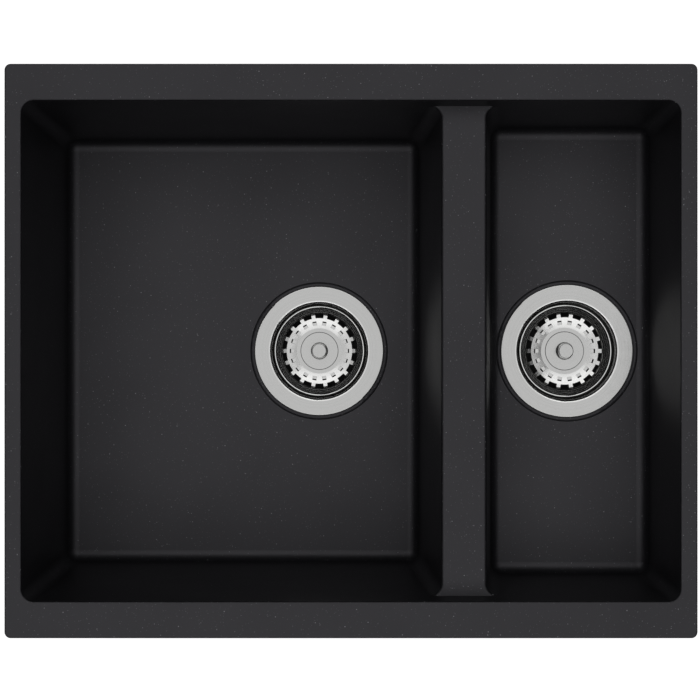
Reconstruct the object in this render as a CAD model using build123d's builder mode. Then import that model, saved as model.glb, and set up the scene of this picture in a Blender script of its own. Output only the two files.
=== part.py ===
from build123d import *

import os
from math import cos, radians, sin, tan

# One and a half bowl sink with two basket strainer wastes, in millimetres.
# The origin is the centre of the rim's top face. +Z is up, +X points to the small bowl
# and +Y to the back.

# Sizes of the moulded sink
SINK_LENGTH = 555.0
SINK_WIDTH = 460.0
RIM_SIDE = 13.6
RIM_FRONT = 29.5
RIM_THICKNESS = 12.0
RIM_CORNER = 5.0
RIM_EDGE = 1.5
SMALL_BOWL_LENGTH = 154.0
DIVIDER_WIDTH = 36.6
DIVIDER_DROP = 24.5
DIVIDER_EDGE = 2.5
MAIN_DEPTH = 190.0
SMALL_DEPTH = 130.0
DRAFT = 5.0
BOWL_ROUND = 10.0
WALL = 8.0
FLOOR = 10.0
PAD_THICKNESS = 2.0
PAD_MARGIN = 2.0
PAD_EDGE = 1.0

# Where the wastes stand, measured from the divider
MAIN_WASTE_OFFSET = 101.2
SMALL_WASTE_OFFSET = 74.4

# Stainless strainer cup, depths measured down from its flange
CUP_SHEET = 1.0
FLANGE_RADIUS = 57.0
FLANGE_SINK = 0.5
FLANGE_ROLL = 2.0
MOUTH_RADIUS = 42.0
NECK_TAPER = 1.0
LEDGE_DEPTH = 14.6
LEDGE_WIDTH = 3.6
LEDGE_DROP = 4.3
LEDGE_BEND = 1.0
SEAT_DEPTH = 41.8
THROAT_TAPER = 1.0
SEAT_CORNER = 2.0
SEAT_WIDTH = 13.9
SUMP_TAPER = 0.5
SUMP_DEPTH = 49.5
SUMP_CORNER = 2.5
SHEET_BEND = 1.3
DRAIN_INNER_RADIUS = 7.5
DRAIN_MARGIN = 3.0
SPOKES = 5
SPOKE_WIDTH = 3.5

# Recess, hole and gaskets between cup, sink and waste body
RECESS_GAP = 0.8
RECESS_EDGE = 2.5
HOLE_CLEARANCE = 1.4
FLANGE_GASKET = 1.5
GASKET_INSET = 1.5
LOWER_GASKET = 3.0
LIP_GAP = 0.3

# Plastic waste body, depths measured down from the underside of the lower gasket
BELL_RADIUS = 58.0
BELL_RIM = 4.0
BELL_WALL = 2.6
BELL_CLEARANCE = 2.0
BELL_HEIGHT = 34.0
BELL_SLOPE = 16.0
BELL_TAPER = 5.2
BELL_CORNER = 9.0
GUSSETS = 12
GUSSET_THICKNESS = 2.4
GUSSET_DROP = 20.0
GUSSET_INSET = 1.0
OUTLET_RADIUS = 23.9
OUTLET_BORE = 20.5
OUTLET_STOP = 3.0
OUTLET_STOP_MARGIN = 3.0
OUTLET_THREAD = 24.0
OUTLET_CHAMFER = 1.0
BOSS_RADIUS = 9.0
BOSS_GAP = 4.0
BOSS_LENGTH = 20.0
BOSS_RIBS = 3
BOSS_RIB_THICKNESS = 3.0
BOSS_RIB_INSET = 2.0

# Clamp screw and its insert
SCREW_RADIUS = 3.0
SCREW_LENGTH = 22.0
SCREW_HEAD_RADIUS = 5.5
SCREW_HEAD_HEIGHT = 3.0
SCREW_HEAD_EDGE = 1.0
SCREW_POINT = 0.6
SCREW_SOCKET = 5.0
SCREW_SOCKET_DEPTH = 1.8
SCREW_CLEARANCE = 0.3
THREAD_CLEARANCE = 0.05
INSERT_RADIUS = 5.2
INSERT_LENGTH = 12.0
INSERT_GROOVE = 1.6

# Basket, depths measured down from the flange of the cup
BASKET_SHEET = 0.8
BASKET_GAP = 1.2
BASKET_RIM_HEIGHT = 1.1
BASKET_RIM_WIDTH = 1.5
BASKET_RIM_BEND = 0.5
BASKET_FOOT_BEND = 1.5
BASKET_WALL_RUN = 6.3
BASKET_WALL_FOOT_DEPTH = 21.6
DISH_SHOULDER = 3.0
DISH_EDGE_DEPTH = 22.6
DISH_RUN = 9.0
DISH_FLAT_DEPTH = 25.0
DISH_BEND = 3.0
SLOTS = 18
SLOT_BRIDGE = 3.4
SLOT_RISE = 1.3
LOUVRE_INSET = 2.7
LOUVRE_LENGTH = 3.7
LOUVRE_SLIT = 1.3
LOUVRE_WIDTH = 3.6
TONGUE_THICKNESS = 0.5
TONGUE_DROP = 0.2
LANCE_GAP = 0.15
REST_GAP = 0.3

# Guide bush, its nut and the catch ring in the middle of the basket
BUSH_HEAD_MARGIN = 3.75
BUSH_HEAD = 0.6
BUSH_RADIUS = 5.5
BUSH_LENGTH = 4.4
BUSH_NUT_FLATS = 17.0
BUSH_NUT = 2.8
STEM_CLEARANCE = 0.06
CATCH_DEPTH = 3.2
CATCH_THICKNESS = 0.9
CATCH_OUTER_RADIUS = 4.1
CATCH_GAP = 0.1
CATCH_OPENING = 3.0

# Plug: stem, knob, seal, washer and nut
STEM_RADIUS = 3.0
STEM_NECK_RADIUS = 2.5
STEM_GROOVE = 0.25
PLUG_TRAVEL = 6.0
KNOB_TOP_DEPTH = 7.5
KNOB_RADIUS = 6.5
KNOB_WAIST_RADIUS = 5.6
KNOB_BASE_RADIUS = 7.6
KNOB_BASE = 1.2
KNOB_EDGE = 0.7
KNOB_BORE_DEPTH = 12.0
SEAL_OVERLAP = 11.0
SEAL_THICKNESS = 3.0
SEAL_LIP = 1.0
SEAL_TAPER = 9.5
WASHER_THICKNESS = 0.8
SEAL_NUT_FLATS = 9.0
SEAL_NUT = 3.2

# Places that follow from the sizes
OPENING_X = SINK_LENGTH / 2 - RIM_SIDE
OPENING_Y = SINK_WIDTH / 2 - RIM_FRONT
DIVIDER_RIGHT = OPENING_X - SMALL_BOWL_LENGTH
DIVIDER_LEFT = DIVIDER_RIGHT - DIVIDER_WIDTH
DIVIDER_LEAN = DIVIDER_DROP * tan(radians(DRAFT))
MAIN_RIGHT = DIVIDER_LEFT + DIVIDER_LEAN
SMALL_LEFT = DIVIDER_RIGHT - DIVIDER_LEAN
RECESS_RADIUS = FLANGE_RADIUS + RECESS_GAP
RECESS_DEPTH = FLANGE_SINK + CUP_SHEET + FLANGE_GASKET
HOLE_RADIUS = MOUTH_RADIUS + CUP_SHEET + HOLE_CLEARANCE
PAD_RADIUS = BELL_RADIUS + PAD_MARGIN
LEDGE_OUTER_RADIUS = MOUTH_RADIUS - NECK_TAPER
THROAT_RADIUS = LEDGE_OUTER_RADIUS - LEDGE_WIDTH
SEAT_HOLE_RADIUS = THROAT_RADIUS - THROAT_TAPER - SEAT_WIDTH
SUMP_RADIUS = SEAT_HOLE_RADIUS - SUMP_TAPER
DRAIN_OUTER_RADIUS = SUMP_RADIUS - DRAIN_MARGIN
BASKET_RADIUS = LEDGE_OUTER_RADIUS - BASKET_GAP
BASKET_RIM_INNER = BASKET_RADIUS - BASKET_RIM_WIDTH
BASKET_WALL_FOOT_RADIUS = BASKET_RIM_INNER - BASKET_WALL_RUN
DISH_EDGE_RADIUS = BASKET_WALL_FOOT_RADIUS - DISH_SHOULDER
DISH_FLAT_RADIUS = DISH_EDGE_RADIUS - DISH_RUN
BUSH_HEAD_RADIUS = DISH_FLAT_RADIUS - BUSH_HEAD_MARGIN
SLOT_OUTER_RADIUS = BASKET_WALL_FOOT_RADIUS + SLOT_RISE
DISH_SLOPE = (DISH_FLAT_DEPTH - DISH_EDGE_DEPTH) / DISH_RUN
LOUVRE_OUTER_RADIUS = DISH_EDGE_RADIUS - LOUVRE_INSET
LOUVRE_INNER_RADIUS = LOUVRE_OUTER_RADIUS - LOUVRE_LENGTH
LOUVRE_DEPTH = DISH_FLAT_DEPTH - (LOUVRE_INNER_RADIUS - DISH_FLAT_RADIUS) * DISH_SLOPE
TONGUE_DEPTH = LOUVRE_DEPTH + TONGUE_DROP
BASKET_REST = REST_GAP - LEDGE_DEPTH - BASKET_GAP * LEDGE_DROP / LEDGE_WIDTH
SEAL_RADIUS = SEAT_HOLE_RADIUS + SEAL_OVERLAP
WASHER_RADIUS = SEAL_RADIUS - SEAL_TAPER
BASKET_BOTTOM_DEPTH = DISH_FLAT_DEPTH + BASKET_SHEET
GASKET_TOP = FLANGE_SINK - FLOOR - PAD_THICKNESS
BELL_TOP = GASKET_TOP - LOWER_GASKET
BELL_INNER_RADIUS = MOUTH_RADIUS + CUP_SHEET + BELL_CLEARANCE
BELL_FOOT = BELL_TOP - BELL_HEIGHT
OUTLET_TOP = BELL_FOOT - BELL_SLOPE
THREAD_TOP = OUTLET_TOP - OUTLET_STOP
STOP_RADIUS = OUTLET_RADIUS + OUTLET_STOP_MARGIN
OUTLET_END = THREAD_TOP - OUTLET_THREAD
BOSS_TOP = -SUMP_DEPTH - CUP_SHEET - BOSS_GAP
SEAL_BOTTOM = -SEAT_DEPTH + REST_GAP
SEAL_TOP = SEAL_BOTTOM + SEAL_THICKNESS
WASHER_TOP = SEAL_TOP + WASHER_THICKNESS
KNOB_FOOT = -DISH_FLAT_DEPTH + BUSH_HEAD + REST_GAP


def upright(x, z, angle=0):
    """Plane of a profile: its first axis is the radius from a waste's axis, its second is up."""
    outwards = (cos(radians(angle)), sin(radians(angle)), 0)
    across = (sin(radians(angle)), -cos(radians(angle)), 0)
    return Plane(origin=(x, 0, z), x_dir=outwards, z_dir=across)


def level(x, z):
    """Level plane centred on the axis of a waste."""
    return Plane(origin=(x, 0, z))


def waste_axis(x):
    """Axis of the waste that stands at x."""
    return Axis((x, 0, 0), (0, 0, 1))


def pressed_section(points, bends, sheet):
    """Section of a pressed sheet: its visible side runs along the points, the metal lies behind."""
    with BuildSketch() as section:
        with BuildLine():
            FilletPolyline(*points, radius=bends)
            offset(amount=sheet, side=Side.LEFT)
        make_face()
    return section.sketch


def circles_at(part, z, radius):
    """Round edges of a part at one height and of one radius."""
    return part.edges().filter_by(GeomType.CIRCLE).filter_by(
        lambda edge: abs(edge.center().Z - z) < 0.01 and abs(edge.radius - radius) < 0.01
    )


def finish(part, name):
    """Label a finished piece and write its file."""
    part.label = name
    export_step(part, f"parts/{name}.step")


# Sink body

def tapered_block(left, right, half_width, height, rounding):
    """Block that hangs from the rim plane, with drafted sides and its lower edges rounded."""
    with BuildPart() as block:
        with BuildSketch(Plane.XY):
            with Locations(((left + right) / 2, 0)):
                Rectangle(right - left, 2 * half_width)
        extrude(amount=-height, taper=DRAFT)
        if rounding > 0:
            lower_edges = block.edges().filter_by(lambda edge: edge.center().Z < -height / 4)
            fillet(lower_edges, rounding)
    return block.part


def divider_block(main_hollow, small_hollow, height):
    """Top of the divider between the two hollows, its long edges rounded out to the walls."""
    margin = 2 * BOWL_ROUND
    with BuildPart() as block:
        with BuildSketch(Plane.XY.offset(-DIVIDER_DROP)):
            with Locations(((DIVIDER_LEFT + DIVIDER_RIGHT) / 2, 0)):
                Rectangle(DIVIDER_WIDTH + 2 * margin, 2 * (OPENING_Y + margin))
        extrude(amount=DIVIDER_DROP - height)
        add(main_hollow, mode=Mode.SUBTRACT)
        add(small_hollow, mode=Mode.SUBTRACT)
        top_face = block.faces().sort_by(Axis.Z)[-1]
        box = top_face.bounding_box()
        inner_edges = top_face.edges().filter_by(
            lambda edge: box.min.X + 1 < edge.center().X < box.max.X - 1
            and box.min.Y + 1 < edge.center().Y < box.max.Y - 1
        )
        fillet(inner_edges, DIVIDER_EDGE)
    return block.part


def bowl_hollows():
    """The air in the sink: two drafted bowls, joined above the lowered divider."""
    main_hollow = tapered_block(-OPENING_X, MAIN_RIGHT, OPENING_Y, MAIN_DEPTH, BOWL_ROUND)
    small_hollow = tapered_block(SMALL_LEFT, OPENING_X, OPENING_Y, SMALL_DEPTH, BOWL_ROUND)
    height = DIVIDER_DROP + 2 * BOWL_ROUND
    reach = 2 * BOWL_ROUND - DIVIDER_EDGE
    divider = divider_block(main_hollow, small_hollow, height)
    between = tapered_block(DIVIDER_LEFT - reach, DIVIDER_RIGHT + reach, OPENING_Y, height, 0)
    with BuildPart() as hollows:
        add(between)
        add(divider, mode=Mode.SUBTRACT)
        add(main_hollow)
        add(small_hollow)
    return hollows.part


def make_sink_body(wastes):
    """Composite-stone moulding: rim, two bowls, lowered divider, recesses, holes and pads."""
    hollows = bowl_hollows()
    outer_round = BOWL_ROUND + WALL
    outer_width = OPENING_Y + WALL
    main_shell = tapered_block(
        -OPENING_X - WALL, MAIN_RIGHT + WALL, outer_width, MAIN_DEPTH + FLOOR, outer_round
    )
    small_shell = tapered_block(
        SMALL_LEFT - WALL, OPENING_X + WALL, outer_width, SMALL_DEPTH + FLOOR, outer_round
    )
    bridge = tapered_block(
        DIVIDER_LEFT - WALL, DIVIDER_RIGHT + WALL, outer_width, DIVIDER_DROP + WALL, 0
    )
    with BuildPart() as sink:
        with BuildSketch(Plane.XY.offset(-RIM_THICKNESS)):
            RectangleRounded(SINK_LENGTH, SINK_WIDTH, RIM_CORNER)
        extrude(amount=RIM_THICKNESS)
        add(main_shell)
        add(small_shell)
        add(bridge)
        for x, depth in wastes:
            with BuildSketch(level(x, -depth - FLOOR / 2)):
                Circle(PAD_RADIUS)
            extrude(amount=-FLOOR / 2 - PAD_THICKNESS)
            chamfer(circles_at(sink, -depth - FLOOR - PAD_THICKNESS, PAD_RADIUS), PAD_EDGE)
        add(hollows, mode=Mode.SUBTRACT)
        rim_face = sink.faces().sort_by(Axis.Z)[-1]
        fillet(rim_face.edges(), RIM_EDGE)
        for x, depth in wastes:
            with BuildSketch(upright(x, -depth)):
                with BuildLine():
                    Polyline(
                        (RECESS_RADIUS, -RECESS_EDGE),
                        (RECESS_RADIUS, -RECESS_DEPTH),
                        (0, -RECESS_DEPTH),
                        (0, BOWL_ROUND),
                        (RECESS_RADIUS + RECESS_EDGE, BOWL_ROUND),
                        (RECESS_RADIUS + RECESS_EDGE, 0),
                    )
                    RadiusArc(
                        (RECESS_RADIUS + RECESS_EDGE, 0), (RECESS_RADIUS, -RECESS_EDGE), RECESS_EDGE
                    )
                make_face()
            revolve(axis=waste_axis(x), mode=Mode.SUBTRACT)
            with BuildSketch(level(x, -depth - RECESS_DEPTH)):
                Circle(HOLE_RADIUS)
            extrude(amount=-FLOOR - PAD_THICKNESS, mode=Mode.SUBTRACT)
    finish(sink.part, "sink_body")


# Fixed pieces of a waste

def make_strainer_cup(bowl, x, top):
    """Pressed cup: flange, neck, ledge for the basket, plug seat, spokes and screw hub."""
    hub_hole = SCREW_RADIUS + SCREW_CLEARANCE
    lip = -CUP_SHEET - FLANGE_GASKET + LIP_GAP
    points = [
        (FLANGE_RADIUS, lip),
        (FLANGE_RADIUS, 0),
        (MOUTH_RADIUS, 0),
        (LEDGE_OUTER_RADIUS, -LEDGE_DEPTH),
        (THROAT_RADIUS, -LEDGE_DEPTH - LEDGE_DROP),
        (THROAT_RADIUS - THROAT_TAPER, -SEAT_DEPTH),
        (SEAT_HOLE_RADIUS, -SEAT_DEPTH),
        (SUMP_RADIUS, -SUMP_DEPTH),
        (hub_hole, -SUMP_DEPTH),
    ]
    bends = [SHEET_BEND, FLANGE_ROLL, LEDGE_BEND, SHEET_BEND, SEAT_CORNER, SHEET_BEND, SUMP_CORNER]
    drain_middle = (DRAIN_INNER_RADIUS + DRAIN_OUTER_RADIUS) / 2
    with BuildPart() as cup:
        with BuildSketch(upright(x, top)):
            add(pressed_section(points, bends, CUP_SHEET))
        revolve(axis=waste_axis(x))
        with BuildSketch(level(x, top - SUMP_DEPTH)):
            Circle(DRAIN_OUTER_RADIUS)
            Circle(DRAIN_INNER_RADIUS, mode=Mode.SUBTRACT)
            with PolarLocations(drain_middle, SPOKES):
                Rectangle(DRAIN_OUTER_RADIUS, SPOKE_WIDTH, mode=Mode.SUBTRACT)
        extrude(amount=2 * CUP_SHEET, both=True, mode=Mode.SUBTRACT)
    finish(cup.part, f"{bowl}_strainer_cup")


def make_ring(name, x, bottom, inner_radius, outer_radius, thickness):
    """Plain flat ring, such as a gasket."""
    with BuildPart() as ring:
        with BuildSketch(level(x, bottom)):
            Circle(outer_radius)
            Circle(inner_radius, mode=Mode.SUBTRACT)
        extrude(amount=thickness)
    finish(ring.part, name)


def make_gaskets(bowl, x, top):
    """Ring under the flange of the cup and ring under the floor of the sink."""
    make_ring(
        f"{bowl}_flange_gasket", x, top - CUP_SHEET - FLANGE_GASKET,
        HOLE_RADIUS + GASKET_INSET, FLANGE_RADIUS - CUP_SHEET - GASKET_INSET, FLANGE_GASKET,
    )
    make_ring(
        f"{bowl}_lower_gasket", x, top + BELL_TOP,
        HOLE_RADIUS + GASKET_INSET, BELL_RADIUS - GASKET_INSET, LOWER_GASKET,
    )


def make_waste_body(bowl, x, top):
    """Moulded bell with gussets outside and a ribbed boss for the clamp screw inside."""
    bell_outer = BELL_INNER_RADIUS + BELL_WALL
    foot_outer = bell_outer - BELL_TAPER
    foot_inner = BELL_INNER_RADIUS - BELL_TAPER
    rim_foot = BELL_TOP - BELL_RIM
    boss_foot = BOSS_TOP - BOSS_LENGTH
    rib_top = BOSS_TOP - BOSS_RIB_INSET
    cone_run = (foot_inner - OUTLET_BORE) / (BELL_FOOT + BELL_WALL - OUTLET_TOP)
    rib_foot_reach = OUTLET_BORE + BELL_WALL / 2
    rib_top_reach = rib_foot_reach + (rib_top - OUTLET_TOP) * cone_run
    with BuildPart() as waste:
        with BuildSketch(upright(x, top)):
            with BuildLine():
                Polyline(
                    (BELL_INNER_RADIUS, BELL_TOP),
                    (BELL_RADIUS, BELL_TOP),
                    (BELL_RADIUS, rim_foot),
                    (bell_outer, rim_foot),
                    (foot_outer, BELL_FOOT),
                    (STOP_RADIUS, OUTLET_TOP),
                    (OUTLET_BORE, OUTLET_TOP),
                    (foot_inner, BELL_FOOT + BELL_WALL),
                    (BELL_INNER_RADIUS, BELL_TOP),
                )
            make_face()
        revolve(axis=waste_axis(x))
        fillet(circles_at(waste, top + BELL_FOOT, foot_outer), BELL_CORNER)
        fillet(circles_at(waste, top + BELL_FOOT + BELL_WALL, foot_inner), BELL_CORNER - BELL_WALL)
        with BuildSketch(level(x, top + BOSS_TOP)):
            Circle(BOSS_RADIUS)
        extrude(amount=-BOSS_LENGTH)
        for turn in range(BOSS_RIBS):
            with BuildSketch(upright(x, top, 360 / BOSS_RIBS * turn)):
                with BuildLine():
                    Polyline(
                        (0, rib_top),
                        (rib_top_reach, rib_top),
                        (rib_foot_reach, OUTLET_TOP),
                        (0, OUTLET_TOP),
                        (0, rib_top),
                    )
                make_face()
        extrude(amount=BOSS_RIB_THICKNESS / 2, both=True)
        for turn in range(GUSSETS):
            with BuildSketch(upright(x, top + rim_foot, 360 / GUSSETS * turn)):
                with BuildLine():
                    Polyline(
                        (bell_outer - BELL_WALL / 2, 0),
                        (BELL_RADIUS - GUSSET_INSET, 0),
                        (bell_outer, -GUSSET_DROP),
                        (foot_outer - BELL_WALL / 2, -GUSSET_DROP),
                        (bell_outer - BELL_WALL / 2, 0),
                    )
                make_face()
        extrude(amount=GUSSET_THICKNESS / 2, both=True)
        with BuildSketch(level(x, top + BOSS_TOP)):
            Circle(INSERT_RADIUS + THREAD_CLEARANCE)
        extrude(amount=-INSERT_LENGTH, mode=Mode.SUBTRACT)
        with BuildSketch(level(x, top + boss_foot)):
            Circle(SCREW_RADIUS + SCREW_CLEARANCE)
        extrude(amount=BOSS_LENGTH, mode=Mode.SUBTRACT)
    finish(waste.part, f"{bowl}_waste_body")


def make_outlet_tail(bowl, x, top):
    """Male outlet under the bell: a stop collar and a plain stretch for the pipe thread."""
    with BuildPart() as tail:
        with BuildSketch(level(x, top + OUTLET_TOP)):
            Circle(STOP_RADIUS)
        extrude(amount=-OUTLET_STOP)
        with BuildSketch(level(x, top + THREAD_TOP)):
            Circle(OUTLET_RADIUS)
        extrude(amount=-OUTLET_THREAD)
        chamfer(circles_at(tail, top + OUTLET_END, OUTLET_RADIUS), OUTLET_CHAMFER)
        with BuildSketch(level(x, top + OUTLET_TOP)):
            Circle(OUTLET_BORE)
        extrude(amount=-OUTLET_STOP - OUTLET_THREAD, mode=Mode.SUBTRACT)
    finish(tail.part, f"{bowl}_outlet_tail")


def make_clamp_screw(bowl, x, top):
    """Pan-head screw with a hexagon socket, through the hub of the cup."""
    seat = top - SUMP_DEPTH
    with BuildPart() as screw:
        with BuildSketch(level(x, seat)):
            Circle(SCREW_HEAD_RADIUS)
        extrude(amount=SCREW_HEAD_HEIGHT)
        fillet(circles_at(screw, seat + SCREW_HEAD_HEIGHT, SCREW_HEAD_RADIUS), SCREW_HEAD_EDGE)
        with BuildSketch(level(x, seat + SCREW_HEAD_HEIGHT)):
            RegularPolygon(SCREW_SOCKET / 2, 6, major_radius=False)
        extrude(amount=-SCREW_SOCKET_DEPTH, mode=Mode.SUBTRACT)
        with BuildSketch(level(x, seat)):
            Circle(SCREW_RADIUS)
        extrude(amount=-SCREW_LENGTH)
        chamfer(circles_at(screw, seat - SCREW_LENGTH, SCREW_RADIUS), SCREW_POINT)
    finish(screw.part, f"{bowl}_clamp_screw")


def make_clamp_insert(bowl, x, top):
    """Brass insert in the boss, with a groove round its middle that keys it in the moulding."""
    with BuildPart() as insert:
        with BuildSketch(level(x, top + BOSS_TOP)):
            Circle(INSERT_RADIUS)
            Circle(SCREW_RADIUS + THREAD_CLEARANCE, mode=Mode.SUBTRACT)
        extrude(amount=-INSERT_LENGTH)
        with BuildSketch(level(x, top + BOSS_TOP - (INSERT_LENGTH - INSERT_GROOVE) / 2)):
            Circle(INSERT_RADIUS)
            Circle(INSERT_RADIUS - INSERT_GROOVE / 2, mode=Mode.SUBTRACT)
        extrude(amount=-INSERT_GROOVE, mode=Mode.SUBTRACT)
    finish(insert.part, f"{bowl}_clamp_insert")


# Basket and what is fixed in it

def make_basket(bowl, x, top):
    """Pressed basket: beaded rim, wall, dish, slots between bridges and lanced tongues."""
    bead_middle = BASKET_RADIUS - BASKET_RIM_WIDTH / 2
    bead_height = BASKET_REST + BASKET_RIM_HEIGHT / 2
    points = [
        (BASKET_RIM_INNER, bead_height),
        (BASKET_WALL_FOOT_RADIUS, -BASKET_WALL_FOOT_DEPTH),
        (DISH_EDGE_RADIUS, -DISH_EDGE_DEPTH),
        (DISH_FLAT_RADIUS, -DISH_FLAT_DEPTH),
        (BUSH_RADIUS, -DISH_FLAT_DEPTH),
    ]
    bends = [BASKET_FOOT_BEND, DISH_BEND, DISH_BEND]
    below = top - DISH_FLAT_DEPTH - 2 * BASKET_SHEET
    window_middle = LOUVRE_OUTER_RADIUS - LOUVRE_LENGTH / 2
    tongue = LOUVRE_LENGTH - LOUVRE_SLIT
    tongue_middle = LOUVRE_INNER_RADIUS + tongue / 2
    with BuildPart() as basket:
        with BuildSketch(upright(x, top)):
            add(pressed_section(points, bends, BASKET_SHEET))
            with Locations((bead_middle, bead_height)):
                RectangleRounded(BASKET_RIM_WIDTH, BASKET_RIM_HEIGHT, BASKET_RIM_BEND)
        revolve(axis=waste_axis(x))
        with BuildSketch(level(x, below)):
            Circle(SLOT_OUTER_RADIUS)
            Circle(DISH_EDGE_RADIUS, mode=Mode.SUBTRACT)
            with PolarLocations(DISH_EDGE_RADIUS, SLOTS):
                Rectangle(DISH_EDGE_RADIUS, SLOT_BRIDGE, mode=Mode.SUBTRACT)
            with PolarLocations(window_middle, SLOTS):
                Rectangle(LOUVRE_LENGTH, LOUVRE_WIDTH)
        extrude(amount=DISH_FLAT_DEPTH, mode=Mode.SUBTRACT)
        with BuildSketch(level(x, top - TONGUE_DEPTH)):
            with PolarLocations(tongue_middle, SLOTS):
                Rectangle(tongue + 2 * LANCE_GAP, LOUVRE_WIDTH - 2 * LANCE_GAP)
        extrude(amount=-TONGUE_THICKNESS)
    finish(basket.part, f"{bowl}_basket")


def make_stem_bush(bowl, x, top):
    """Bush through the basket, with a wide thin head, a bore for the stem and a ring groove."""
    floor = top - DISH_FLAT_DEPTH
    bore = STEM_RADIUS + STEM_CLEARANCE
    with BuildPart() as bush:
        with BuildSketch(level(x, floor)):
            Circle(BUSH_HEAD_RADIUS)
        extrude(amount=BUSH_HEAD)
        with BuildSketch(level(x, floor)):
            Circle(BUSH_RADIUS - THREAD_CLEARANCE)
        extrude(amount=-BUSH_LENGTH)
        with BuildSketch(level(x, floor - BUSH_LENGTH)):
            Circle(bore)
        extrude(amount=BUSH_LENGTH + BUSH_HEAD, mode=Mode.SUBTRACT)
        with BuildSketch(level(x, floor - CATCH_DEPTH - CATCH_GAP)):
            Circle(CATCH_OUTER_RADIUS + CATCH_GAP)
        extrude(amount=CATCH_THICKNESS + 2 * CATCH_GAP, mode=Mode.SUBTRACT)
    finish(bush.part, f"{bowl}_stem_bush")


def make_hex_nut(name, x, bottom, flats, bore, height):
    """Hexagon nut with its corners turned off at both ends."""
    corner = flats / 2 / cos(radians(30))
    turned = (corner - flats / 2) * tan(radians(30))
    with BuildPart() as nut:
        with BuildSketch(level(x, bottom)):
            RegularPolygon(flats / 2, 6, major_radius=False)
        extrude(amount=height)
        with BuildSketch(upright(x, bottom)):
            with BuildLine():
                Polyline(
                    (bore, 0),
                    (flats / 2, 0),
                    (corner, turned),
                    (corner, height - turned),
                    (flats / 2, height),
                    (bore, height),
                    (bore, 0),
                )
            make_face()
        revolve(axis=waste_axis(x), mode=Mode.INTERSECT)
    finish(nut.part, name)


def make_catch_ring(bowl, x, top):
    """Open spring ring in the groove of the bush, round the stem."""
    with BuildPart() as ring:
        with BuildSketch(level(x, top - DISH_FLAT_DEPTH - CATCH_DEPTH)):
            Circle(CATCH_OUTER_RADIUS)
            Circle(STEM_RADIUS + STEM_CLEARANCE, mode=Mode.SUBTRACT)
            with Locations((CATCH_OUTER_RADIUS, 0)):
                Rectangle(2 * CATCH_OUTER_RADIUS, CATCH_OPENING, mode=Mode.SUBTRACT)
        extrude(amount=CATCH_THICKNESS)
    finish(ring.part, f"{bowl}_catch_ring")


# Plug: what slides in the basket

def make_plug_stem(bowl, x, top):
    """Turned stem: neck for the knob, two grooves for the catch ring, neck for seal and nut."""
    catch = CATCH_THICKNESS / 2 - DISH_FLAT_DEPTH - CATCH_DEPTH
    groove_half = CATCH_THICKNESS / 2 + CATCH_GAP
    with BuildPart() as stem:
        with BuildSketch(level(x, top + WASHER_TOP)):
            Circle(STEM_RADIUS)
        extrude(amount=KNOB_FOOT - WASHER_TOP)
        with BuildSketch(level(x, top + SEAL_BOTTOM - SEAL_NUT)):
            Circle(STEM_NECK_RADIUS)
        extrude(amount=WASHER_TOP - SEAL_BOTTOM + SEAL_NUT)
        with BuildSketch(level(x, top + KNOB_FOOT)):
            Circle(STEM_NECK_RADIUS)
        extrude(amount=KNOB_BORE_DEPTH - THREAD_CLEARANCE)
        for lift in (0, PLUG_TRAVEL):
            with BuildSketch(level(x, top + catch - lift)):
                Circle(STEM_RADIUS)
                Circle(STEM_RADIUS - STEM_GROOVE, mode=Mode.SUBTRACT)
            extrude(amount=groove_half, both=True, mode=Mode.SUBTRACT)
    finish(stem.part, f"{bowl}_plug_stem")


def make_knob(bowl, x, top):
    """Waisted pull knob with a flat top and a blind bore for the stem."""
    waist = (KNOB_FOOT - KNOB_TOP_DEPTH) / 2
    with BuildPart() as knob:
        with BuildSketch(upright(x, top)):
            with BuildLine():
                Polyline(
                    (KNOB_BASE_RADIUS, KNOB_FOOT + KNOB_BASE),
                    (KNOB_BASE_RADIUS, KNOB_FOOT),
                    (0, KNOB_FOOT),
                    (0, -KNOB_TOP_DEPTH),
                    (KNOB_RADIUS, -KNOB_TOP_DEPTH),
                )
                ThreePointArc(
                    (KNOB_RADIUS, -KNOB_TOP_DEPTH),
                    (KNOB_WAIST_RADIUS, waist),
                    (KNOB_BASE_RADIUS, KNOB_FOOT + KNOB_BASE),
                )
            make_face()
        revolve(axis=waste_axis(x))
        fillet(circles_at(knob, top - KNOB_TOP_DEPTH, KNOB_RADIUS), KNOB_EDGE)
        with BuildSketch(level(x, top + KNOB_FOOT)):
            Circle(STEM_NECK_RADIUS + THREAD_CLEARANCE)
        extrude(amount=KNOB_BORE_DEPTH, mode=Mode.SUBTRACT)
    finish(knob.part, f"{bowl}_knob")


def make_plug_seal(bowl, x, top):
    """Rubber disc that thins from the washer out to a lip round its edge."""
    with BuildPart() as seal:
        with BuildSketch(upright(x, top)):
            with BuildLine():
                Polyline(
                    (STEM_NECK_RADIUS + THREAD_CLEARANCE, SEAL_BOTTOM),
                    (SEAL_RADIUS, SEAL_BOTTOM),
                    (SEAL_RADIUS, SEAL_BOTTOM + SEAL_LIP),
                    (WASHER_RADIUS, SEAL_TOP),
                    (STEM_NECK_RADIUS + THREAD_CLEARANCE, SEAL_TOP),
                    (STEM_NECK_RADIUS + THREAD_CLEARANCE, SEAL_BOTTOM),
                )
            make_face()
        revolve(axis=waste_axis(x))
    finish(seal.part, f"{bowl}_plug_seal")


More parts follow.
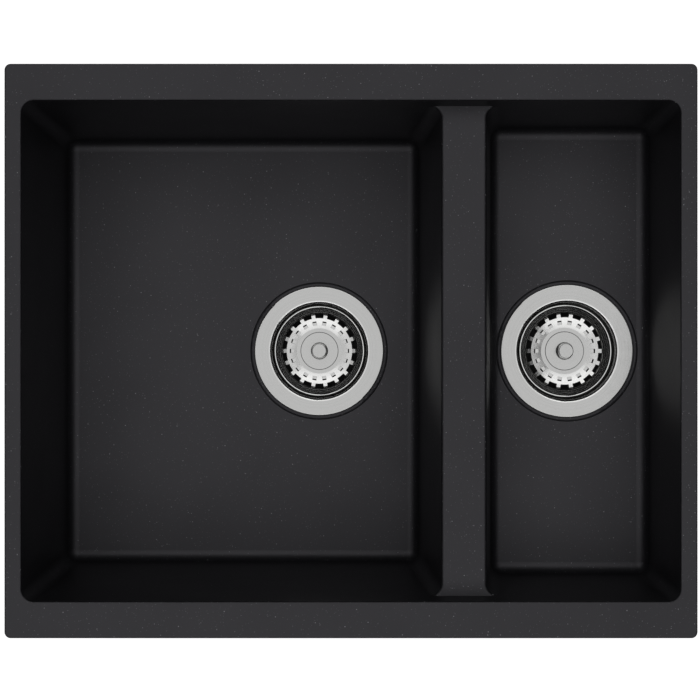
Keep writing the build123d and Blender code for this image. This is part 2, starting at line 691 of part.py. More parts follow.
def make_waste(bowl, x, depth):
    """All the pieces of one waste, in place under its bowl."""
    top = -depth - FLANGE_SINK
    neck = STEM_NECK_RADIUS + THREAD_CLEARANCE
    make_strainer_cup(bowl, x, top)
    make_gaskets(bowl, x, top)
    make_waste_body(bowl, x, top)
    make_outlet_tail(bowl, x, top)
    make_clamp_screw(bowl, x, top)
    make_clamp_insert(bowl, x, top)
    make_basket(bowl, x, top)
    make_stem_bush(bowl, x, top)
    bush_nut_bottom = top - BASKET_BOTTOM_DEPTH - BUSH_NUT
    make_hex_nut(f"{bowl}_bush_nut", x, bush_nut_bottom, BUSH_NUT_FLATS, BUSH_RADIUS, BUSH_NUT)
    make_catch_ring(bowl, x, top)
    make_plug_stem(bowl, x, top)
    make_knob(bowl, x, top)
    make_plug_seal(bowl, x, top)
    make_ring(f"{bowl}_seal_washer", x, top + SEAL_TOP, neck, WASHER_RADIUS, WASHER_THICKNESS)
    seal_nut_bottom = top + SEAL_BOTTOM - SEAL_NUT
    make_hex_nut(f"{bowl}_seal_nut", x, seal_nut_bottom, SEAL_NUT_FLATS, neck, SEAL_NUT)


os.makedirs("parts", exist_ok=True)
main_waste_x = DIVIDER_LEFT - MAIN_WASTE_OFFSET
small_waste_x = DIVIDER_RIGHT + SMALL_WASTE_OFFSET
make_sink_body([(main_waste_x, MAIN_DEPTH), (small_waste_x, SMALL_DEPTH)])
make_waste("main", main_waste_x, MAIN_DEPTH)
make_waste("small", small_waste_x, SMALL_DEPTH)
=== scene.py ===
# %% [markdown]
# A one and a half bowl sink, moulded in dark quartz composite, with a basket strainer
# waste in each bowl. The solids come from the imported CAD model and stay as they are. This
# script gives every one of them a finish, adds the fine work that solids leave out, and
# sets up a plain studio with the camera straight above.

# %% Load the frame
from math import atan2, cos, pi, radians, sin

import bmesh
import bpy
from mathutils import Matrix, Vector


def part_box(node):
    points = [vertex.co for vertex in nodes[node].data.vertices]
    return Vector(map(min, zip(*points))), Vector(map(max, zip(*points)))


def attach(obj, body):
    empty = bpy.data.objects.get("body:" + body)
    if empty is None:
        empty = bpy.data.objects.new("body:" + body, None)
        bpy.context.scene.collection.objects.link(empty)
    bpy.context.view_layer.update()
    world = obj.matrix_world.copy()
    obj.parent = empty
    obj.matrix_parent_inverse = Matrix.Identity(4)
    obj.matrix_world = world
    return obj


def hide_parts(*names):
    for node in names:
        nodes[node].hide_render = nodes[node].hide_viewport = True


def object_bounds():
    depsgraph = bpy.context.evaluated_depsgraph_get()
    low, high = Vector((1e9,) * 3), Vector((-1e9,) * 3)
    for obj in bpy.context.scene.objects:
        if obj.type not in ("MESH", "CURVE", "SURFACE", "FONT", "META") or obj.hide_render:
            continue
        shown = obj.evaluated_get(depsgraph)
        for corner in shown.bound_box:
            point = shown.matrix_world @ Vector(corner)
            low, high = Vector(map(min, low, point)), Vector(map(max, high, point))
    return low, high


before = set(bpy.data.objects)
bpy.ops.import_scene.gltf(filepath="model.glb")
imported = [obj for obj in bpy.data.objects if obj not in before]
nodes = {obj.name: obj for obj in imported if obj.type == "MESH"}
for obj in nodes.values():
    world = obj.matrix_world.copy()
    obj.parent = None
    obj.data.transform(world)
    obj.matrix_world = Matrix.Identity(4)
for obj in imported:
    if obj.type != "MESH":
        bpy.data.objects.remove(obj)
cad_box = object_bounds()
MM = 0.001
print("nodes:", len(nodes), "box:", [[round(v, 4) for v in corner] for corner in cad_box])

# %% [markdown]
# The studio comes before the finishes, because a polished surface is mostly a picture of
# what stands round it. The photograph was taken from straight above: the walls of both
# bowls are seen by the same amount on all sides, so the camera hangs over the middle of
# the rim and looks down. A long lens at almost two metres gives the small difference in
# size between the rim and the floors.

# %% Camera
CAMERA_HEIGHT = 1.970
CAMERA_OFFSET = 0.8 * MM
LENS_MM = 126.62
camera = bpy.data.objects.new("camera", bpy.data.cameras.new("camera"))
bpy.context.scene.collection.objects.link(camera)
camera.location = (-CAMERA_OFFSET, CAMERA_OFFSET, CAMERA_HEIGHT)
camera.data.sensor_width = 36
camera.data.lens = LENS_MM
camera.data.clip_end = 20
bpy.context.scene.camera = camera
bpy.context.scene.view_settings.view_transform = "Standard"
print("camera height:", CAMERA_HEIGHT, "lens:", LENS_MM)

# %% [markdown]
# Five soft panels hang side by side like a studio ceiling. The flat steel of the flanges
# mirrors the middle panel, and the cone of each basket mirrors the panels beside it: the
# ones in front and behind are brighter, which is why the photograph's baskets are white at
# the top and the bottom and grey at the left and the right. Those two are wide ellipses,
# because the cone also looks out diagonally and a gap between two panels would show there
# as a smudge. A picture of a real studio, wrapped round the scene, could do the same, but
# panels can be tuned one by one. An area light's power is its radiance times pi times its
# area, and an ellipse fills pi / 4 of its width times its depth. So the panels are written
# down as radiance, which is what the steel shows.

# %% Light panels
CEILING = 3.0
# Each panel: shape, place in x and y, width, depth, radiance
PANELS = {
    "panel_middle": ("RECTANGLE", 0.0, 0.0, 2.0, 2.0, 0.76),
    "panel_front": ("ELLIPSE", 0.0, -1.8, 4.4, 1.7, 1.2),
    "panel_back": ("ELLIPSE", 0.0, 1.8, 4.4, 1.7, 1.2),
    "panel_left": ("RECTANGLE", -1.75, 0.0, 1.4, 3.2, 0.8),
    "panel_right": ("RECTANGLE", 1.75, 0.0, 1.4, 2.1, 0.8),
}
for name, (shape, x, y, width, depth, radiance) in PANELS.items():
    lamp = bpy.data.lights.new(name, "AREA")
    lamp.shape = shape
    lamp.size = width
    lamp.size_y = depth
    lamp.energy = radiance * pi * width * depth * (pi / 4 if shape == "ELLIPSE" else 1)
    panel = bpy.data.objects.new(name, lamp)
    panel.location = (x, y, CEILING)
    bpy.context.scene.collection.objects.link(panel)
    print(name, "watts:", round(lamp.energy, 1))

# %% [markdown]
# A studio is never quite black round the lamps. A little light from everywhere stands in
# for its walls, and more of it would lift the dark walls of the bowls.

# %% World fill
AIR_GREY = 0.8
AIR_STRENGTH = 0.03
world = bpy.data.worlds.new("studio_air")
bpy.context.scene.world = world
world.use_nodes = True
air = world.node_tree.nodes["Background"]
air.inputs["Color"].default_value = (AIR_GREY, AIR_GREY, AIR_GREY, 1)
air.inputs["Strength"].default_value = AIR_STRENGTH
print("light from everywhere:", AIR_STRENGTH)

# %% [markdown]
# Every finish is a small tree of nodes. One function adds a node, sets its properties and
# its unlinked sockets, and makes its links, so that each tree below reads from top to
# bottom like a list. Colours are written as the sRGB values that one would pick from a
# picture, and one function turns them to the linear numbers that the renderer works in.

# %% Helpers for finishes
def from_hex(code):
    """Linear colour with alpha from an sRGB hex value."""
    parts = [int(code[i:i + 2], 16) / 255 for i in (0, 2, 4)]
    linear = (v / 12.92 if v <= 0.04045 else ((v + 0.055) / 1.055) ** 2.4 for v in parts)
    return tuple(linear) + (1.0,)


def add_node(tree, kind, settings=(), values=(), links=()):
    """Add one node: settings are its properties, values its sockets, links are outputs."""
    node = tree.nodes.new(kind)
    for name, value in dict(settings).items():
        setattr(node, name, value)
    for socket, value in dict(values).items():
        node.inputs[socket].default_value = value
    for socket, output in dict(links).items():
        tree.links.new(output, node.inputs[socket])
    return node


def new_finish(name, color, metallic, roughness):
    """Start a material: its tree, its shader and the coordinates of the piece itself."""
    finish = bpy.data.materials.new(name)
    finish.use_nodes = True
    tree = finish.node_tree
    shader = tree.nodes["Principled BSDF"]
    shader.inputs["Base Color"].default_value = from_hex(color)
    shader.inputs["Metallic"].default_value = metallic
    shader.inputs["Roughness"].default_value = roughness
    place = add_node(tree, "ShaderNodeTexCoord")
    return finish, tree, shader, place.outputs["Object"]


print("a middle grey in linear light:", round(from_hex("808080")[0], 3))

# %% [markdown]
# The sink is cast from about three quarters quartz sand in a black acrylic resin. The
# mould leaves a dense, silky matt skin: the resin swallows nearly all light that enters
# it, so what the eye gets is the soft gloss of the lamps above, and steep walls go dark.
#
# Some grains of the sand are not dyed and show as pale points. They could be small balls
# set into the skin, but thousands of them would only slow the render. A Voronoi texture
# gives them for nothing: each of its cells holds one point at most, at a random place.
# Real grains are 0.3 to 0.8 mm wide. They are drawn at the coarse end, because a smaller
# one would be lost between the pixels. One layer has many faint grains, which lie a little
# under the skin, and a wider one has few bright grains, which lie in it.

# %% Pale grains
# Each layer of grains: size of a cell in mm, radius of a grain in mm, colour
GRAIN_LAYERS = [(2.2, 0.34, "6e6e72"), (4.6, 0.42, "a8a8ac")]
# Part of a grain's radius inside which it has its full colour
GRAIN_CORE = 0.6


def add_pale_grains(tree, place, color):
    """Lay pale grains of random brightness over a colour."""
    for cell_mm, radius_mm, code in GRAIN_LAYERS:
        points = add_node(tree, "ShaderNodeTexVoronoi", {"feature": "F1"},
                          {"Scale": 1 / (cell_mm * MM), "Randomness": 1.0}, {"Vector": place})
        edge = radius_mm / cell_mm
        inside = add_node(tree, "ShaderNodeMapRange", {},
                          {"From Min": edge, "From Max": GRAIN_CORE * edge,
                           "To Min": 0.0, "To Max": 1.0}, {"Value": points.outputs["Distance"]})
        chance = add_node(tree, "ShaderNodeSeparateColor", {}, {},
                          {"Color": points.outputs["Color"]})
        shine = add_node(tree, "ShaderNodeMath", {"operation": "MULTIPLY"}, {},
                         {0: inside.outputs["Result"], 1: chance.outputs["Red"]})
        color = add_node(tree, "ShaderNodeMix", {"data_type": "RGBA"}, {"B": from_hex(code)},
                         {"Factor": shine.outputs[0], "A": color}).outputs["Result"]
    print("layers of grains:", len(GRAIN_LAYERS))
    return color


# %% [markdown]
# The black between the grains isn't even either. The dyed sand makes it a touch lighter
# and darker, and the mould's release agent leaves clouds of about 60 mm that are a little
# more or less silky. Real sand is finer than half a millimetre and is drawn 1.1 mm wide, so
# that a pixel can show it. Both are noise, mixed into the gloss, and the sand also lifts
# the skin by a fraction of a tenth of a millimetre. Quartz has an index of 1.54. The skin
# was matched to the photograph at 1.62, which gives back between 5 and 6 percent straight
# on, and its shine has a trace of violet, which the tint adds.

# %% Quartz composite
SAND_MM = 1.1
CLOUD_MM = 60
SKIN_RELIEF_MM = 0.1


def make_composite():
    """Cast quartz composite: near black, silky matt, with pale grains."""
    finish, tree, shader, place = new_finish("quartz_composite_cast", "0c0c0e", 0.0, 0.5)
    shader.inputs["IOR"].default_value = 1.62
    shader.inputs["Specular Tint"].default_value = (0.95, 0.93, 1.0, 1.0)
    sand = add_node(tree, "ShaderNodeTexNoise", {"noise_dimensions": "3D"},
                    {"Scale": 1 / (SAND_MM * MM), "Detail": 2.0, "Roughness": 0.6},
                    {"Vector": place})
    cloud = add_node(tree, "ShaderNodeTexNoise", {"noise_dimensions": "3D"},
                     {"Scale": 1 / (CLOUD_MM * MM), "Detail": 1.0}, {"Vector": place})
    resin = add_node(tree, "ShaderNodeMix", {"data_type": "RGBA"},
                     {"A": from_hex("09090b"), "B": from_hex("121215")},
                     {"Factor": sand.outputs["Fac"]})
    color = add_pale_grains(tree, place, resin.outputs["Result"])
    tree.links.new(color, shader.inputs["Base Color"])
    mottle = add_node(tree, "ShaderNodeMix", {"data_type": "FLOAT"}, {"Factor": 0.6},
                      {"A": cloud.outputs["Fac"], "B": sand.outputs["Fac"]})
    gloss = add_node(tree, "ShaderNodeMapRange", {},
                     {"From Min": 0.3, "From Max": 0.7, "To Min": 0.46, "To Max": 0.54},
                     {"Value": mottle.outputs["Result"]})
    tree.links.new(gloss.outputs["Result"], shader.inputs["Roughness"])
    bump = add_node(tree, "ShaderNodeBump", {},
                    {"Strength": 0.12, "Distance": SKIN_RELIEF_MM * MM},
                    {"Height": sand.outputs["Fac"]})
    tree.links.new(bump.outputs["Normal"], shader.inputs["Normal"])
    return finish


composite = make_composite()
print("finish:", composite.name)

# %% [markdown]
# The cup and the basket are stainless sheet, pressed and then polished while they turn.
# The wheel leaves fine rings round the axis. They are 0.1 to 0.3 mm apart on the real
# piece, which no pixel of the picture can hold, so they are drawn 0.9 mm apart. A ring
# pattern needs the distance from the axis: the Mapping node moves the axis of the waste to
# the origin, the height is dropped, and the length of what is left is the radius. One
# dimension of noise along that radius makes rings of uneven width, as a wheel does.

# %% Distance from the axis of a waste
WASTE_X = {"main": (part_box("main_knob")[0].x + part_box("main_knob")[1].x) / 2,
           "small": (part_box("small_knob")[0].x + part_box("small_knob")[1].x) / 2}
print("waste axes:", {bowl: round(x, 4) for bowl, x in WASTE_X.items()})


def add_radius(tree, place, axis_x):
    """Distance of each point of the surface from the upright axis of one waste."""
    centred = add_node(tree, "ShaderNodeMapping", {"vector_type": "POINT"},
                       {"Location": (-axis_x, 0.0, 0.0)}, {"Vector": place})
    level = add_node(tree, "ShaderNodeVectorMath", {"operation": "MULTIPLY"}, {1: (1, 1, 0)},
                     {0: centred.outputs[0]})
    radius = add_node(tree, "ShaderNodeVectorMath", {"operation": "LENGTH"}, {},
                      {0: level.outputs["Vector"]})
    return radius.outputs["Value"]


# %% [markdown]
# Polishing doesn't reach everywhere: the steep walls and the narrow ledge keep the rings of
# the press tool, and there the rings show more strongly. In a deep cup those surfaces mostly
# mirror each other, so the finish has zones of painted light: darker zones are painted shade
# and painted dark reflection, and lighter zones are painted highlights. Each zone is a stop of
# one colour ramp over the radius: its colour is the tint of the steel with that painted light,
# and its alpha is how strongly the rings show there, in colour and in relief.
# The thin dark ring at 16 mm is the seam where the guide bush is pressed into the basket:
# painted shadow of its gap, with some polishing residue.

# %% Zones of painted shade and highlight on a pressed piece
RAMP_REACH_MM = 60
# Where the contrast is 1, a ring is 40 times as deep and its dark line a tenth as light
DEEP_RINGS = 40
DARKEST_RING = 0.1


def add_zones(tree, shader, radius, rings, zones):
    """Painted shade and highlights on the steel by radius, and the height of its rings."""
    reach = add_node(tree, "ShaderNodeMath", {"operation": "DIVIDE"}, {1: RAMP_REACH_MM * MM},
                     {0: radius})
    ramp = add_node(tree, "ShaderNodeValToRGB", {}, {}, {"Fac": reach.outputs[0]})
    stops = ramp.color_ramp.elements
    for index, (radius_mm, code, contrast) in enumerate(zones):
        stop = stops[index] if index < 2 else stops.new(1.0)
        stop.position = radius_mm / RAMP_REACH_MM
        stop.color = from_hex(code)[:3] + (contrast,)
    line = add_node(tree, "ShaderNodeMapRange", {},
                    {"From Min": 0.38, "From Max": 0.62, "To Min": DARKEST_RING, "To Max": 1.0},
                    {"Value": rings})
    tint = add_node(tree, "ShaderNodeMix", {"data_type": "RGBA", "blend_type": "MULTIPLY"}, {},
                    {"Factor": ramp.outputs["Alpha"], "A": ramp.outputs["Color"],
                     "B": line.outputs["Result"]})
    tree.links.new(tint.outputs["Result"], shader.inputs["Base Color"])
    depth = add_node(tree, "ShaderNodeMapRange", {}, {"To Min": 1.0, "To Max": DEEP_RINGS},
                     {"Value": ramp.outputs["Alpha"]})
    return add_node(tree, "ShaderNodeMath", {"operation": "MULTIPLY"}, {},
                    {0: rings, 1: depth.outputs["Result"]}).outputs[0]


print("the ramp reaches", RAMP_REACH_MM, "mm from the axis")

# %% [markdown]
# The numbers follow each piece from the axis outwards. The cup has painted shade on its floor
# and on a ledge from 37 to 42 mm, a painted highlight on the bead where the ledge folds up,
# and then its flange.
# The basket has a dish lightened by painted highlight towards its edge, a wall from 33 to 38 mm
# darkened by painted reflection of the dark bowl, with three rings of painted highlight on it,
# and a rolled rim lightened by painted highlight.

# %% Where the zones lie
# Each zone: radius in mm, colour, contrast of the rings
# The cup's floor and ledge are painted shade, and the bead at 43 mm is a painted highlight
CUP_ZONES = [
    (0, "a8a8a6", 0.06), (37.2, "8e8e8c", 0.1), (37.6, "6a6a68", 0.3), (42.3, "626260", 0.3),
    (42.9, "ececeb", 0.0), (43.7, "ececeb", 0.0), (44.4, "cdcdcc", 0.04), (60, "cdcdcc", 0.04),
]
# The lighter dish and rim are painted highlight, and the darker wall is painted reflection
BASKET_ZONES = [
    # The dark stops from 16.25 to 16.65 mm are painted seam shadow, with some polishing residue
    (0, "cdcdcc", 0.0), (16.1, "cdcdcc", 0.0), (16.25, "1c1c1c", 0.0), (16.65, "1c1c1c", 0.0),
    (16.8, "cdcdcc", 0.0), (21, "cfcfce", 0.0), (26, "dededd", 0.0), (32.8, "dcdcdb", 0.0),
    (33.4, "6a6a69", 0.3),
]
# Three rings of painted highlight on the wall, each between darker stops
for ring in (34.2, 35.7, 37.1):
    BASKET_ZONES += [(ring - 0.55, "606060", 0.3), (ring - 0.3, "ffffff", 0.0),
                     (ring + 0.3, "ffffff", 0.0), (ring + 0.55, "606060", 0.3)]
BASKET_ZONES += [(38.1, "565655", 0.3), (38.6, "e2e2e1", 0.0), (60, "e2e2e1", 0.0)]
print("zones:", len(CUP_ZONES), len(BASKET_ZONES))

# %% [markdown]
# All metal here was worked round the axis of its waste, so one function makes it. Metal
# shows its own colour only in what it mirrors, so metallic is 1 and the index stays at its
# default. A roughness near 0.2 gives the eye a soft mirror: the panels are still there, but
# have no edges. The rings stretch them round the axis, and handling leaves smears about
# 9 mm wide, which change the gloss a little.

# %% Metal worked round an axis
SMEAR_MM = 9
SMEAR_GLOSS = 0.03
RING_RELIEF_MM = 0.05


def make_turned(name, axis_x, color, roughness, ring_mm, ring_depth, zones=()):
    """Metal with rings round the axis of one waste, in zones where they are given."""
    finish, tree, shader, place = new_finish(name, color, 1.0, roughness)
    radius = add_radius(tree, place, axis_x)
    rings = add_node(tree, "ShaderNodeTexNoise", {"noise_dimensions": "1D"},
                     {"Scale": 1 / (ring_mm * MM), "Detail": 2.0, "Roughness": 0.7},
                     {"W": radius})
    relief = rings.outputs["Fac"]
    if zones:
        relief = add_zones(tree, shader, radius, rings.outputs["Fac"], zones)
    smear = add_node(tree, "ShaderNodeTexNoise", {"noise_dimensions": "3D"},
                     {"Scale": 1 / (SMEAR_MM * MM), "Detail": 2.0}, {"Vector": place})
    gloss = add_node(tree, "ShaderNodeMapRange", {},
                     {"From Min": 0.3, "From Max": 0.7, "To Min": roughness - SMEAR_GLOSS,
                      "To Max": roughness + SMEAR_GLOSS}, {"Value": smear.outputs["Fac"]})
    tree.links.new(gloss.outputs["Result"], shader.inputs["Roughness"])
    bump = add_node(tree, "ShaderNodeBump", {},
                    {"Strength": ring_depth, "Distance": RING_RELIEF_MM * MM},
                    {"Height": relief})
    tree.links.new(bump.outputs["Normal"], shader.inputs["Normal"])
    return finish


print("smears change the roughness by", SMEAR_GLOSS, "either way")

# %% [markdown]
# Each bowl has its own set of metals, because the rings run round the axis of its waste.
# Pressed and polished stainless steel is a light grey with a trace of yellow. Turned steel
# has closer and deeper tool marks, which shade each other, so it looks darker and duller;
# they are about 0.1 mm apart and are drawn 0.5 mm apart. The knob is turned brass under
# satin chrome: as light as the steel, with shallower rings.

# %% Finishes of the metal pieces
# Each finish: colour, roughness, ring spacing in mm, ring depth, zones
SPUN_STEEL = ("cdcdcc", 0.2, 0.9, 0.25)
METALS = {
    "cup_stainless_spun": SPUN_STEEL + (CUP_ZONES,),
    "basket_stainless_spun": SPUN_STEEL + (BASKET_ZONES,),
    "stainless_spun": SPUN_STEEL,
    "steel_turned": ("c2c2c0", 0.3, 0.5, 0.4),
    "brass_chrome_plated": ("cbcbca", 0.22, 0.6, 0.2),
}
metals = {}
for bowl, axis_x in WASTE_X.items():
    for metal, look in METALS.items():
        metals[bowl, metal] = make_turned(f"{bowl}_{metal}", axis_x, *look)
print("metal finishes:", len(metals))

# %% [markdown]
# The other pieces hide under the sink. The big gasket and the plug's seal are moulded
# nitrile rubber: near black, and dull, because its skin scatters light. The flange's gasket
# is cut from grey polyethylene foam, whose cut cells look chalky. The waste body is moulded
# polypropylene, off-white and slightly waxy, and the screw pulls on an insert of turned
# brass, which gives a warm yellow glint. The cells of the foam are about 0.8 mm wide. The
# grain of the moulded skins is finer than a tenth of a millimetre and is drawn 1.5 and 2 mm
# wide, so that it can show. The four differ in numbers and not in kind, so one function
# makes them all.

# %% Rubber, gasket foam, polypropylene and brass
GRAIN_GLOSS = 0.06
MOULD_RELIEF_MM = 0.1


def make_moulded(name, light, dark, roughness, grain_mm, relief, metallic=0.0):
    """Moulded, cut or turned stock with a fine grain in its colour, gloss and relief."""
    finish, tree, shader, place = new_finish(name, light, metallic, roughness)
    grain = add_node(tree, "ShaderNodeTexNoise", {"noise_dimensions": "3D"},
                     {"Scale": 1 / (grain_mm * MM), "Detail": 3.0}, {"Vector": place})
    color = add_node(tree, "ShaderNodeMix", {"data_type": "RGBA"},
                     {"A": from_hex(dark), "B": from_hex(light)},
                     {"Factor": grain.outputs["Fac"]})
    tree.links.new(color.outputs["Result"], shader.inputs["Base Color"])
    gloss = add_node(tree, "ShaderNodeMapRange", {},
                     {"To Min": roughness - GRAIN_GLOSS, "To Max": roughness + GRAIN_GLOSS},
                     {"Value": grain.outputs["Fac"]})
    tree.links.new(gloss.outputs["Result"], shader.inputs["Roughness"])
    bump = add_node(tree, "ShaderNodeBump", {},
                    {"Strength": relief, "Distance": MOULD_RELIEF_MM * MM},
                    {"Height": grain.outputs["Fac"]})
    tree.links.new(bump.outputs["Normal"], shader.inputs["Normal"])
    return finish


rubber = make_moulded("nitrile_rubber_moulded", "232324", "161617", 0.6, 1.5, 0.2)
foam = make_moulded("polyethylene_foam_cut", "9a9a98", "7c7c7a", 0.8, 0.8, 0.6)
plastic = make_moulded("polypropylene_moulded", "d3d4d2", "c6c7c5", 0.38, 2.0, 0.1)
brass = make_moulded("brass_turned", "c9a45c", "b48f4a", 0.3, 1.0, 0.1, metallic=1.0)
print("plain finishes:", rubber.name, foam.name, plastic.name, brass.name)

# %% [markdown]
# The solids keep their shapes, and only their material slots change. The name of each
# node says its bowl and its piece, so two small dictionaries are enough to find its finish:
# pieces with rings need the finish of their own bowl, because the rings run round the axis
# of that waste, and plain pieces share one.

# %% Give each node its finish
METAL_PIECES = {
    "strainer_cup": "cup_stainless_spun", "basket": "basket_stainless_spun",
    "stem_bush": "stainless_spun", "seal_washer": "stainless_spun",
    "clamp_screw": "steel_turned", "bush_nut": "steel_turned", "catch_ring": "steel_turned",
    "plug_stem": "steel_turned", "seal_nut": "steel_turned", "knob": "brass_chrome_plated",
}
PLAIN_PIECES = {
    "flange_gasket": foam, "lower_gasket": rubber, "plug_seal": rubber,
    "waste_body": plastic, "outlet_tail": plastic, "clamp_insert": brass,
}
for name, node in nodes.items():
    bowl, piece = name.split("_", 1)
    if name == "sink_body":
        finish = composite
    elif piece in METAL_PIECES:
        finish = metals[bowl, METAL_PIECES[piece]]
    else:
        finish = PLAIN_PIECES[piece]
    node.data.materials.clear()
    node.data.materials.append(finish)
print("finished nodes:", len(nodes))

# %% [markdown]
# Solids in a library leave threads out, because a helix makes a heavy file. Here they come
# back, on both outlet tails and both clamp screws. Turned pieces start as a chain of edges,
# half the outline of the piece, which is spun round the upright axis. The axis of the waste
# is at the origin until the piece is done, which keeps the radii easy to read.

# %% Helpers for turned pieces
RING_STEPS = 64
# How near counts as one point, as level with a plane, and as touched by a cut
WELD = 0.002 * MM
LEVEL = 0.001 * MM
CUT = 0.0001 * MM


def add_chain(mesh, points):
    """Vertices in the XZ plane joined one after another; points are radius, height in mm."""
    verts = [mesh.verts.new((radius * MM, 0, height * MM)) for radius, height in points]
    return verts + [mesh.edges.new(pair) for pair in zip(verts, verts[1:])]


def spin_chain(mesh, points):
    """Turn a chain once round the axis and close it."""
    bmesh.ops.spin(mesh, geom=add_chain(mesh, points), cent=(0, 0, 0), axis=(0, 0, 1),
                   angle=2 * pi, steps=RING_STEPS, use_merge=True)


def border_at(mesh, height):
    """The open edges of the mesh that lie in one level plane."""
    return [edge for edge in mesh.edges if edge.is_boundary
            and all(abs(v.co.z - height * MM) < LEVEL for v in edge.verts)]


def add_circle(mesh, radius, height):
    """A closed ring of edges round the axis."""
    ring = bmesh.ops.create_circle(mesh, cap_ends=False, radius=radius * MM,
                                   segments=RING_STEPS)
    bmesh.ops.translate(mesh, verts=ring["verts"], vec=(0, 0, height * MM))
    return list({edge for vert in ring["verts"] for edge in vert.link_edges})


def fill_ring(mesh, edges):
    """Level faces between two closed loops in one plane, whatever their edge counts."""
    bmesh.ops.triangle_fill(mesh, use_beauty=True, use_dissolve=False, edges=edges,
                            normal=(0, 0, 1))


print("a turned piece has", RING_STEPS, "sides")

# %% [markdown]
# A thread is one tooth profile that climbs by one pitch for each turn. Spinning it through
# all its turns at once works, but is slow, because every step copies a longer mesh. So a
# chain of five edges is spun once with a small rise at each step, that turn is copied up
# the axis, the seams between the turns are merged, and two level cuts trim the skin to its
# length. Pushing the crests in near both ends gives the chamfer that starts a nut, and the
# run-out below the shoulder.

# %% One thread
# Each point of the tooth: part of a pitch, part of the tooth's height
TOOTH = [(0.0, 0.0), (0.12, 0.0), (0.42, 1.0), (0.58, 1.0), (0.88, 0.0), (1.0, 0.0)]


def add_thread(mesh, top, bottom, crest, root, pitch, chamfer, relief):
    """Skin of a right-hand thread, chamfered at the bottom and with a relief at the top."""
    # A turn and a half to spare at each end, for the cuts to pass through
    turns = int((top - bottom) / pitch) + 3
    start = bottom - 1.5 * pitch
    chain = add_chain(mesh, [(root + (crest - root) * rise, start + pitch * part)
                             for part, rise in TOOTH])
    bmesh.ops.spin(mesh, geom=chain, cent=(0, 0, 0), axis=(0, 0, 1), angle=2 * pi,
                   steps=RING_STEPS, dvec=(0, 0, pitch / RING_STEPS * MM))
    one_turn = mesh.verts[:] + mesh.edges[:] + mesh.faces[:]
    for turn in range(1, turns):
        copy = bmesh.ops.duplicate(mesh, geom=one_turn)["geom"]
        bmesh.ops.translate(mesh, verts=[g for g in copy if isinstance(g, bmesh.types.BMVert)],
                            vec=(0, 0, turn * pitch * MM))
    bmesh.ops.remove_doubles(mesh, verts=mesh.verts, dist=WELD)
    for height, side in ((top, 1), (bottom, -1)):
        bmesh.ops.bisect_plane(mesh, geom=mesh.verts[:] + mesh.edges[:] + mesh.faces[:],
                               dist=CUT, plane_co=(0, 0, height * MM), plane_no=(0, 0, side),
                               clear_outer=True)
    for vert in mesh.verts:
        radius = vert.co.xy.length
        height = vert.co.z / MM
        limit = min(crest - chamfer + height - bottom, root + max(0.0, top - relief - height))
        scale = min(1.0, limit * MM / radius)
        vert.co.x *= scale
        vert.co.y *= scale


print("a tooth is a chain of", len(TOOTH) - 1, "edges")

# %% [markdown]
# Each new piece stands for one node of the CAD model: it hides that node, takes its slot
# and rides on its body. A finished piece keeps its place in its mesh, so that its object
# sits at the origin like every other. The count of open edges should be 0, because a piece
# with a hole in its skin has no inside.

# %% Put a piece in its place
SHARP_DEGREES = 28


def place_piece(mesh, name, axis_x, finish, body, node):
    """Close the piece, move it to its axis and let it stand for the node."""
    bmesh.ops.remove_doubles(mesh, verts=mesh.verts, dist=WELD)
    bmesh.ops.recalc_face_normals(mesh, faces=mesh.faces)
    bmesh.ops.translate(mesh, verts=mesh.verts, vec=(axis_x, 0, 0))
    open_edges = sum(1 for edge in mesh.edges if not edge.is_manifold)
    data = bpy.data.meshes.new(name)
    mesh.to_mesh(data)
    mesh.free()
    data.shade_smooth()
    data.set_sharp_from_angle(angle=radians(SHARP_DEGREES))
    data.materials.append(finish)
    piece = bpy.data.objects.new(name, data)
    bpy.context.scene.collection.objects.link(piece)
    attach(piece, body)
    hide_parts(node)
    print(name, "faces:", len(data.polygons), "open edges:", open_edges)


# %% [markdown]
# The outlet tail is where the trap screws on: a tube with the thread of a 1 1/2 inch pipe,
# 11 turns to the inch and 47.8 mm over the crests, under a plain collar. The thread skin
# comes first, then the collar is spun from five points, and flat rings and the bore close
# the shell. A Boolean of a tube and a coil would reach the same shape, but leaves slivers
# at the crests.

# %% Threaded outlet tails
INCH_MM = 25.4
PIPE_PITCH = INCH_MM / 11
PIPE_DEPTH = 1.479
PIPE_CREST = 23.9
PIPE_ROOT = PIPE_CREST - PIPE_DEPTH
PIPE_BORE = 20.5
PIPE_CHAMFER = 1.0
PIPE_RELIEF = 1.6
COLLAR_HEIGHT = 3.0
COLLAR_EDGE = 0.4
for bowl, axis_x in WASTE_X.items():
    low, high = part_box(f"{bowl}_outlet_tail")
    end, top = low.z / MM, high.z / MM
    shoulder = top - COLLAR_HEIGHT
    collar = (high.x - low.x) / 2 / MM
    mesh = bmesh.new()
    add_thread(mesh, shoulder, end, PIPE_CREST, PIPE_ROOT, PIPE_PITCH, PIPE_CHAMFER,
               PIPE_RELIEF)
    spin_chain(mesh, [(PIPE_BORE, top), (collar - COLLAR_EDGE, top),
                      (collar, top - COLLAR_EDGE), (collar, shoulder + COLLAR_EDGE),
                      (collar - COLLAR_EDGE, shoulder)])
    fill_ring(mesh, border_at(mesh, shoulder))
    fill_ring(mesh, border_at(mesh, end) + add_circle(mesh, PIPE_BORE, end))
    bmesh.ops.bridge_loops(mesh, edges=[edge for edge in mesh.edges if edge.is_boundary])
    place_piece(mesh, f"{bowl}_outlet_thread", axis_x, plastic, "sink", f"{bowl}_outlet_tail")

# %% [markdown]
# One screw in the middle of each waste pulls the cup down and the waste body up, with the
# sink between them. It is an M6 screw with a low round head and a hexagon socket of 5 mm.
# The socket starts as a circle of edges, which is pushed out to a hexagon, extruded down
# and closed with one face.

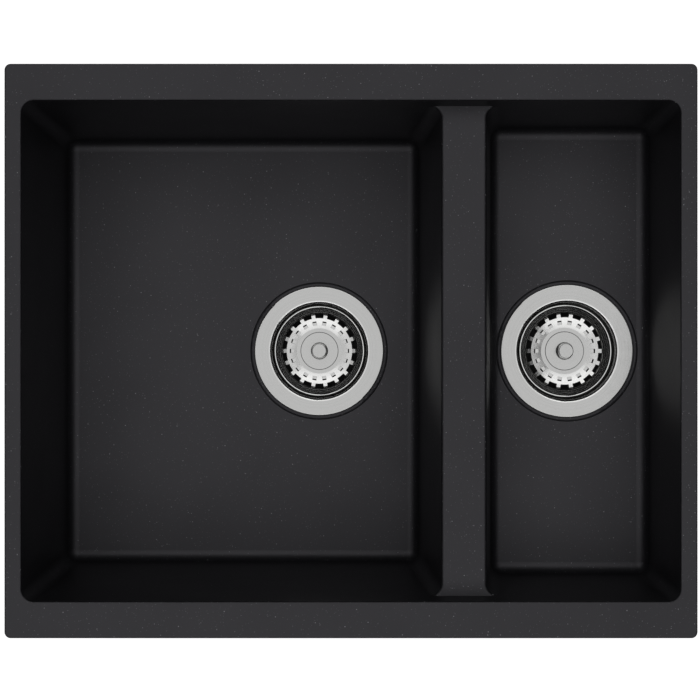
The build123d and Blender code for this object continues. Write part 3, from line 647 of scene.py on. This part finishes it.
# %% Threaded clamp screws
SCREW_PITCH = 1.0
SCREW_DEPTH = 0.61
SCREW_CREST = 3.0
SCREW_ROOT = SCREW_CREST - SCREW_DEPTH
SCREW_CHAMFER = 0.6
SCREW_RELIEF = 1.0
HEAD_RADIUS = 5.5
HEAD_HEIGHT = 3.0
HEAD_EDGE = 1.0
HEAD_EDGE_STEPS = 4
SOCKET_FLATS = 5.0
SOCKET_DEPTH = 1.8
for bowl, axis_x in WASTE_X.items():
    low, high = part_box(f"{bowl}_clamp_screw")
    end, top = low.z / MM, high.z / MM
    seat = top - HEAD_HEIGHT
    mesh = bmesh.new()
    add_thread(mesh, seat, end, SCREW_CREST, SCREW_ROOT, SCREW_PITCH, SCREW_CHAMFER,
               SCREW_RELIEF)
    bmesh.ops.edgeloop_fill(mesh, edges=border_at(mesh, end))
    angles = [step * pi / 2 / HEAD_EDGE_STEPS for step in range(HEAD_EDGE_STEPS + 1)]
    spin_chain(mesh, [(HEAD_RADIUS, seat)]
               + [(HEAD_RADIUS - HEAD_EDGE * (1 - cos(a)), top - HEAD_EDGE * (1 - sin(a)))
                  for a in angles])
    fill_ring(mesh, border_at(mesh, seat))
    sides = add_circle(mesh, SOCKET_FLATS / 2, top)
    for vert in {vert for edge in sides for vert in edge.verts}:
        vert.co.xy /= cos(atan2(vert.co.y, vert.co.x) % (pi / 3) - pi / 6)
    fill_ring(mesh, border_at(mesh, top) + sides)
    sunk = bmesh.ops.extrude_edge_only(mesh, edges=sides)["geom"]
    foot = [g for g in sunk if isinstance(g, bmesh.types.BMVert)]
    bmesh.ops.translate(mesh, verts=foot, vec=(0, 0, -SOCKET_DEPTH * MM))
    bmesh.ops.edgeloop_fill(mesh, edges=border_at(mesh, top - SOCKET_DEPTH))
    place_piece(mesh, f"{bowl}_clamp_screw_threaded", axis_x, metals[bowl, "steel_turned"],
                "sink", f"{bowl}_clamp_screw")

# %% [markdown]
# The sink stands on a plain pale floor, so that it can be looked at from all sides. The
# floor is matt white paper under a lamp: it also gives back some light of its own, so that
# it stays pale where the sink keeps the panels' light off it.

# %% Floor
FLOOR_REACH = 6.0
FLOOR_GAP = 0.4 * MM
PAPER_GLOW = 0.8
floor_height = cad_box[0][2] - FLOOR_GAP
floor_mesh = bmesh.new()
bmesh.ops.create_grid(floor_mesh, x_segments=1, y_segments=1, size=FLOOR_REACH)
bmesh.ops.translate(floor_mesh, verts=floor_mesh.verts, vec=(0, 0, floor_height))
floor_data = bpy.data.meshes.new("floor")
floor_mesh.to_mesh(floor_data)
floor_mesh.free()
floor = bpy.data.objects.new("floor", floor_data)
bpy.context.scene.collection.objects.link(floor)
paper, tree, shader, place = new_finish("paper_white_matt", "f2f2f2", 0.0, 0.9)
shader.inputs["Emission Color"].default_value = (1, 1, 1, 1)
shader.inputs["Emission Strength"].default_value = PAPER_GLOW
floor_data.materials.append(paper)
print("floor at:", round(floor_height, 4))
